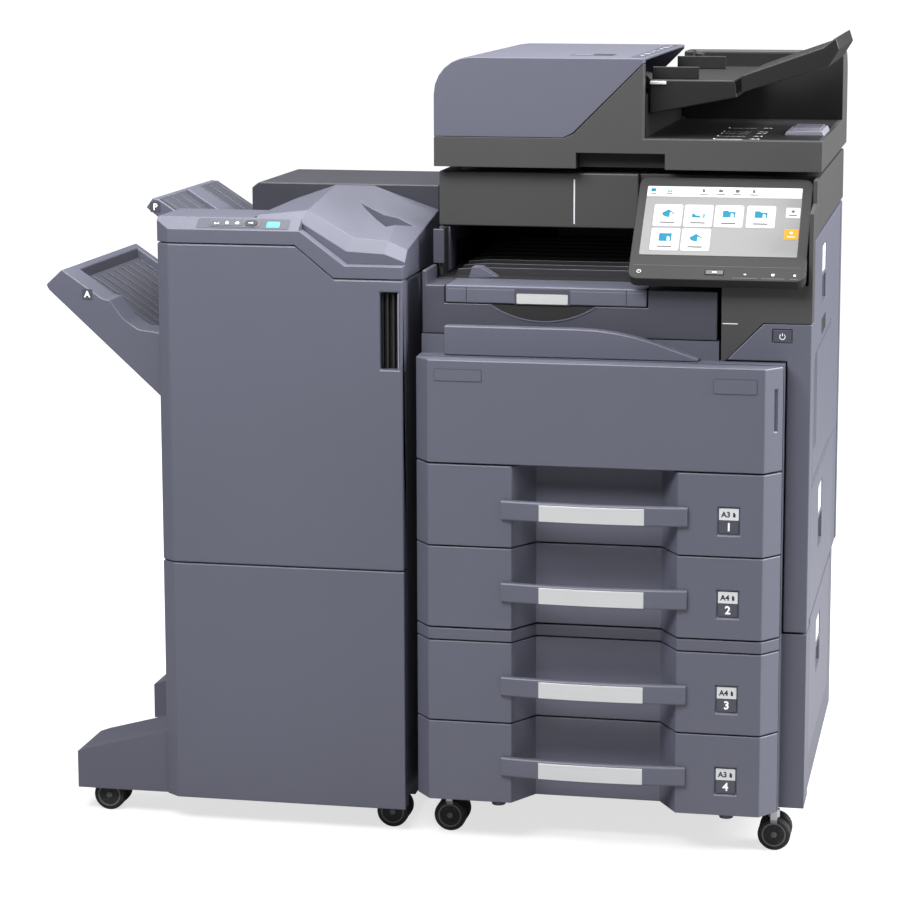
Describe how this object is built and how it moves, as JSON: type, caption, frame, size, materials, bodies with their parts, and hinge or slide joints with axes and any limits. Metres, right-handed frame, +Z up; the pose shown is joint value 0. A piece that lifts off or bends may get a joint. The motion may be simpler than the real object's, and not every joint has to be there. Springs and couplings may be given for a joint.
{
  "type": "photocopier",
  "caption": "Floor-standing A3 office photocopier with tilting touch panel, document processor, stacked paper drawers on casters and a side finisher with output trays.",
  "frame": {"origin": "on the floor under the middle of the whole machine's bounding box", "axes": "+Z up, +X to the right of someone facing the machine, +Y towards the back; the fronts face -Y"},
  "size_m": [1.218, 0.778, 1.227],
  "materials": {
    "lavender_shell": "fine satin texture",
    "dark_shell": "fine matt texture",
    "cabinet_shell": "satin moulded panel",
    "inner_plastic": "matt moulded",
    "roller_rubber": "ground rubber",
    "drum_coat": "polished coating",
    "fuser_sleeve": "smooth release coating",
    "platen_glass": "clear float glass",
    "start_key": "smooth gloss",
    "wheel_tread": "hard rubber tread",
    "caster_metal": "zinc plated"
  },
  "bodies": {
    "machine": {"main_frame": "cabinet_shell", "feeder_frame": "cabinet_shell", "rear_cover": "lavender_shell", "right_column_cover": "lavender_shell", "upper_right_cover": "dark_shell", "toner_cover": "lavender_shell", "bridge_unit": "lavender_shell", "output_tray": "inner_plastic", "scanner_housing": "dark_shell", "platen_glass": "platen_glass", "power_inlet": "inner_plastic", "finisher_cabinet": "cabinet_shell", "finisher_lower_panel": "lavender_shell", "finisher_top_cover": "lavender_shell", "transport_duct": "dark_shell", "sub_tray": "lavender_shell"},
    "front_door": {"front_door": "lavender_shell"},
    "drawer_1": {"drawer_1_front": "lavender_shell", "drawer_1_tray": "inner_plastic"},
    "drawer_2": {"drawer_2_front": "lavender_shell", "drawer_2_tray": "inner_plastic"},
    "drawer_3": {"drawer_3_front": "lavender_shell", "drawer_3_tray": "inner_plastic"},
    "drawer_4": {"drawer_4_front": "lavender_shell", "drawer_4_tray": "inner_plastic"},
    "bridge_cover": {"bridge_cover": "lavender_shell"},
    "scan_carriage": {"scan_carriage": "inner_plastic"},
    "power_button": {"power_button": "lavender_shell"},
    "toner_bottle": {"toner_bottle": "inner_plastic"},
    "drum": {"drum": "drum_coat"},
    "fuser_roller": {"fuser_roller": "fuser_sleeve"},
    "side_cover": {"side_cover": "lavender_shell"},
    "mp_tray": {"mp_tray": "lavender_shell"},
    "lower_side_cover": {"lower_side_cover": "lavender_shell"},
    "feeder_side_cover": {"feeder_side_cover": "lavender_shell"},
    "document_processor": {"dp_base": "dark_shell", "document_tray": "dark_shell"},
    "feed_cover": {"dp_feed_cover": "lavender_shell"},
    "tray_extension": {"tray_extension": "dark_shell"},
    "guide_front": {"guide_front": "dark_shell"},
    "guide_rear": {"guide_rear": "dark_shell"},
    "pickup_roller": {"pickup_roller": "roller_rubber"},
    "touch_panel": {"touch_panel": "dark_shell"},
    "home_key": {"home_key": "dark_shell"},
    "finisher_door": {"finisher_door": "lavender_shell"},
    "jam_cover": {"finisher_jam_cover": "lavender_shell"},
    "start_button": {"finisher_start_button": "start_key"},
    "main_tray": {"main_tray": "lavender_shell"},
    "finisher_wheels_1": {"finisher_wheels_1": "wheel_tread"},
    "finisher_wheels_2": {"finisher_wheels_2": "wheel_tread"},
    "finisher_wheels_3": {"finisher_wheels_3": "wheel_tread"},
    "finisher_wheels_4": {"finisher_wheels_4": "wheel_tread"},
    "caster_1_fork": {"caster_1_fork": "caster_metal"},
    "caster_1_wheels": {"caster_1_wheels": "wheel_tread"},
    "caster_2_fork": {"caster_2_fork": "caster_metal"},
    "caster_2_wheels": {"caster_2_wheels": "wheel_tread"},
    "caster_3_fork": {"caster_3_fork": "caster_metal"},
    "caster_3_wheels": {"caster_3_wheels": "wheel_tread"},
    "caster_4_fork": {"caster_4_fork": "caster_metal"},
    "caster_4_wheels": {"caster_4_wheels": "wheel_tread"}
  },
  "joints": [
    {"name": "front_door_hinge", "type": "hinge", "parent": "machine", "child": "front_door", "pos_m": [0.2695, -0.374, 0.595], "axis": [1, 0, 0], "range_deg": [0, 85]},
    {"name": "drawer_1_slide", "type": "slide", "parent": "machine", "child": "drawer_1", "axis": [0, -1, 0], "range_m": [0, 0.4]},
    {"name": "drawer_2_slide", "type": "slide", "parent": "machine", "child": "drawer_2", "axis": [0, -1, 0], "range_m": [0, 0.4]},
    {"name": "drawer_3_slide", "type": "slide", "parent": "machine", "child": "drawer_3", "axis": [0, -1, 0], "range_m": [0, 0.4]},
    {"name": "drawer_4_slide", "type": "slide", "parent": "machine", "child": "drawer_4", "axis": [0, -1, 0], "range_m": [0, 0.4]},
    {"name": "bridge_cover_hinge", "type": "hinge", "parent": "machine", "child": "bridge_cover", "pos_m": [0.185, -0.236, 0.855], "axis": [-1, 0, 0], "range_deg": [0, 30]},
    {"name": "scan_carriage_slide", "type": "slide", "parent": "machine", "child": "scan_carriage", "axis": [1, 0, 0], "range_m": [0, 0.43]},
    {"name": "power_button_press", "type": "slide", "parent": "machine", "child": "power_button", "axis": [0, 1, 0], "range_m": [0, 0.002], "stiffness_N_per_m": 400},
    {"name": "toner_bottle_spin", "type": "hinge", "parent": "machine", "child": "toner_bottle", "pos_m": [0.102, -0.075, 0.676], "axis": [0, 1, 0], "continuous": true},
    {"name": "drum_spin", "type": "hinge", "parent": "machine", "child": "drum", "pos_m": [0.384, -0.075, 0.672], "axis": [0, 1, 0], "continuous": true},
    {"name": "fuser_roller_spin", "type": "hinge", "parent": "machine", "child": "fuser_roller", "pos_m": [0.488, -0.075, 0.69], "axis": [0, 1, 0], "continuous": true},
    {"name": "side_cover_hinge", "type": "hinge", "parent": "machine", "child": "side_cover", "pos_m": [0.584, 0.313, 0.742], "axis": [0, 0, 1], "range_deg": [0, 75]},
    {"name": "mp_tray_hinge", "type": "hinge", "parent": "side_cover", "child": "mp_tray", "pos_m": [0.5845, -0.068, 0.5655], "axis": [0, 1, 0], "range_deg": [0, 60]},
    {"name": "lower_side_cover_hinge", "type": "hinge", "parent": "machine", "child": "lower_side_cover", "pos_m": [0.584, 0.222, 0.451], "axis": [0, 0, 1], "range_deg": [0, 80]},
    {"name": "feeder_side_cover_hinge", "type": "hinge", "parent": "machine", "child": "feeder_side_cover", "pos_m": [0.584, 0.174, 0.236], "axis": [0, 0, 1], "range_deg": [0, 80]},
    {"name": "document_processor_hinge", "type": "hinge", "parent": "machine", "child": "document_processor", "pos_m": [0.289, 0.377, 1.03], "axis": [-1, 0, 0], "range_deg": [0, 65]},
    {"name": "feed_cover_hinge", "type": "hinge", "parent": "document_processor", "child": "feed_cover", "pos_m": [-0.0072, 0.051, 1.0743], "axis": [0, -1, 0], "range_deg": [0, 75]},
    {"name": "tray_extension_hinge", "type": "hinge", "parent": "document_processor", "child": "tray_extension", "pos_m": [0.459, 0.015, 1.15], "axis": [0, 1, 0], "range_deg": [0, 16]},
    {"name": "guide_front_slide", "type": "slide", "parent": "document_processor", "child": "guide_front", "axis": [0, 1, 0], "range_m": [0, 0.09]},
    {"name": "guide_rear_slide", "type": "slide", "parent": "document_processor", "child": "guide_rear", "axis": [0, -1, 0], "range_m": [0, 0.09]},
    {"name": "pickup_roller_spin", "type": "hinge", "parent": "document_processor", "child": "pickup_roller", "pos_m": [0.288, 0.015, 1.146], "axis": [0, 1, 0], "continuous": true},
    {"name": "touch_panel_tilt", "type": "hinge", "parent": "machine", "child": "touch_panel", "pos_m": [0.445, -0.221, 0.966], "axis": [-1, 0, 0], "range_deg": [-5, 40]},
    {"name": "home_key_press", "type": "slide", "parent": "touch_panel", "child": "home_key", "axis": [0, 0.6896, -0.7242], "range_m": [0, 0.001], "stiffness_N_per_m": 300},
    {"name": "finisher_door_hinge", "type": "hinge", "parent": "machine", "child": "finisher_door", "pos_m": [-0.408, -0.342, 0.66], "axis": [0, 0, -1], "range_deg": [0, 110]},
    {"name": "jam_cover_hinge", "type": "hinge", "parent": "machine", "child": "jam_cover", "pos_m": [-0.2622, -0.205, 0.9555], "axis": [0, -1, 0], "range_deg": [0, 60]},
    {"name": "start_button_press", "type": "slide", "parent": "machine", "child": "start_button", "axis": [0, 0, -1], "range_m": [0, 0.002], "stiffness_N_per_m": 400},
    {"name": "main_tray_lift", "type": "slide", "parent": "machine", "child": "main_tray", "axis": [0, 0, 1], "range_m": [-0.33, 0]},
    {"name": "finisher_wheels_1_spin", "type": "hinge", "parent": "machine", "child": "finisher_wheels_1", "pos_m": [-0.054, -0.301, 0.025], "axis": [0, 1, 0], "continuous": true},
    {"name": "finisher_wheels_2_spin", "type": "hinge", "parent": "machine", "child": "finisher_wheels_2", "pos_m": [-0.517, -0.301, 0.025], "axis": [0, 1, 0], "continuous": true},
    {"name": "finisher_wheels_3_spin", "type": "hinge", "parent": "machine", "child": "finisher_wheels_3", "pos_m": [-0.054, 0.119, 0.025], "axis": [0, 1, 0], "continuous": true},
    {"name": "finisher_wheels_4_spin", "type": "hinge", "parent": "machine", "child": "finisher_wheels_4", "pos_m": [-0.517, 0.119, 0.025], "axis": [0, 1, 0], "continuous": true},
    {"name": "caster_1_swivel", "type": "hinge", "parent": "machine", "child": "caster_1_fork", "pos_m": [0.038, -0.323, 0.06], "axis": [0, 0, 1], "continuous": true},
    {"name": "caster_1_spin", "type": "hinge", "parent": "caster_1_fork", "child": "caster_1_wheels", "pos_m": [0.038, -0.301, 0.025], "axis": [1, 0, 0], "continuous": true},
    {"name": "caster_2_swivel", "type": "hinge", "parent": "machine", "child": "caster_2_fork", "pos_m": [0.542, -0.323, 0.06], "axis": [0, 0, 1], "continuous": true},
    {"name": "caster_2_spin", "type": "hinge", "parent": "caster_2_fork", "child": "caster_2_wheels", "pos_m": [0.542, -0.301, 0.025], "axis": [1, 0, 0], "continuous": true},
    {"name": "caster_3_swivel", "type": "hinge", "parent": "machine", "child": "caster_3_fork", "pos_m": [0.038, 0.221, 0.06], "axis": [0, 0, 1], "continuous": true},
    {"name": "caster_3_spin", "type": "hinge", "parent": "caster_3_fork", "child": "caster_3_wheels", "pos_m": [0.038, 0.243, 0.025], "axis": [1, 0, 0], "continuous": true},
    {"name": "caster_4_swivel", "type": "hinge", "parent": "machine", "child": "caster_4_fork", "pos_m": [0.542, 0.221, 0.06], "axis": [0, 0, 1], "continuous": true},
    {"name": "caster_4_spin", "type": "hinge", "parent": "caster_4_fork", "child": "caster_4_wheels", "pos_m": [0.542, 0.243, 0.025], "axis": [1, 0, 0], "continuous": true}
  ],
  "couplings": [
    {"joint": "guide_rear_slide", "follows": "guide_front_slide", "ratio": 1},
    {"joint": "fuser_roller_spin", "follows": "drum_spin", "ratio": -1}
  ]
}
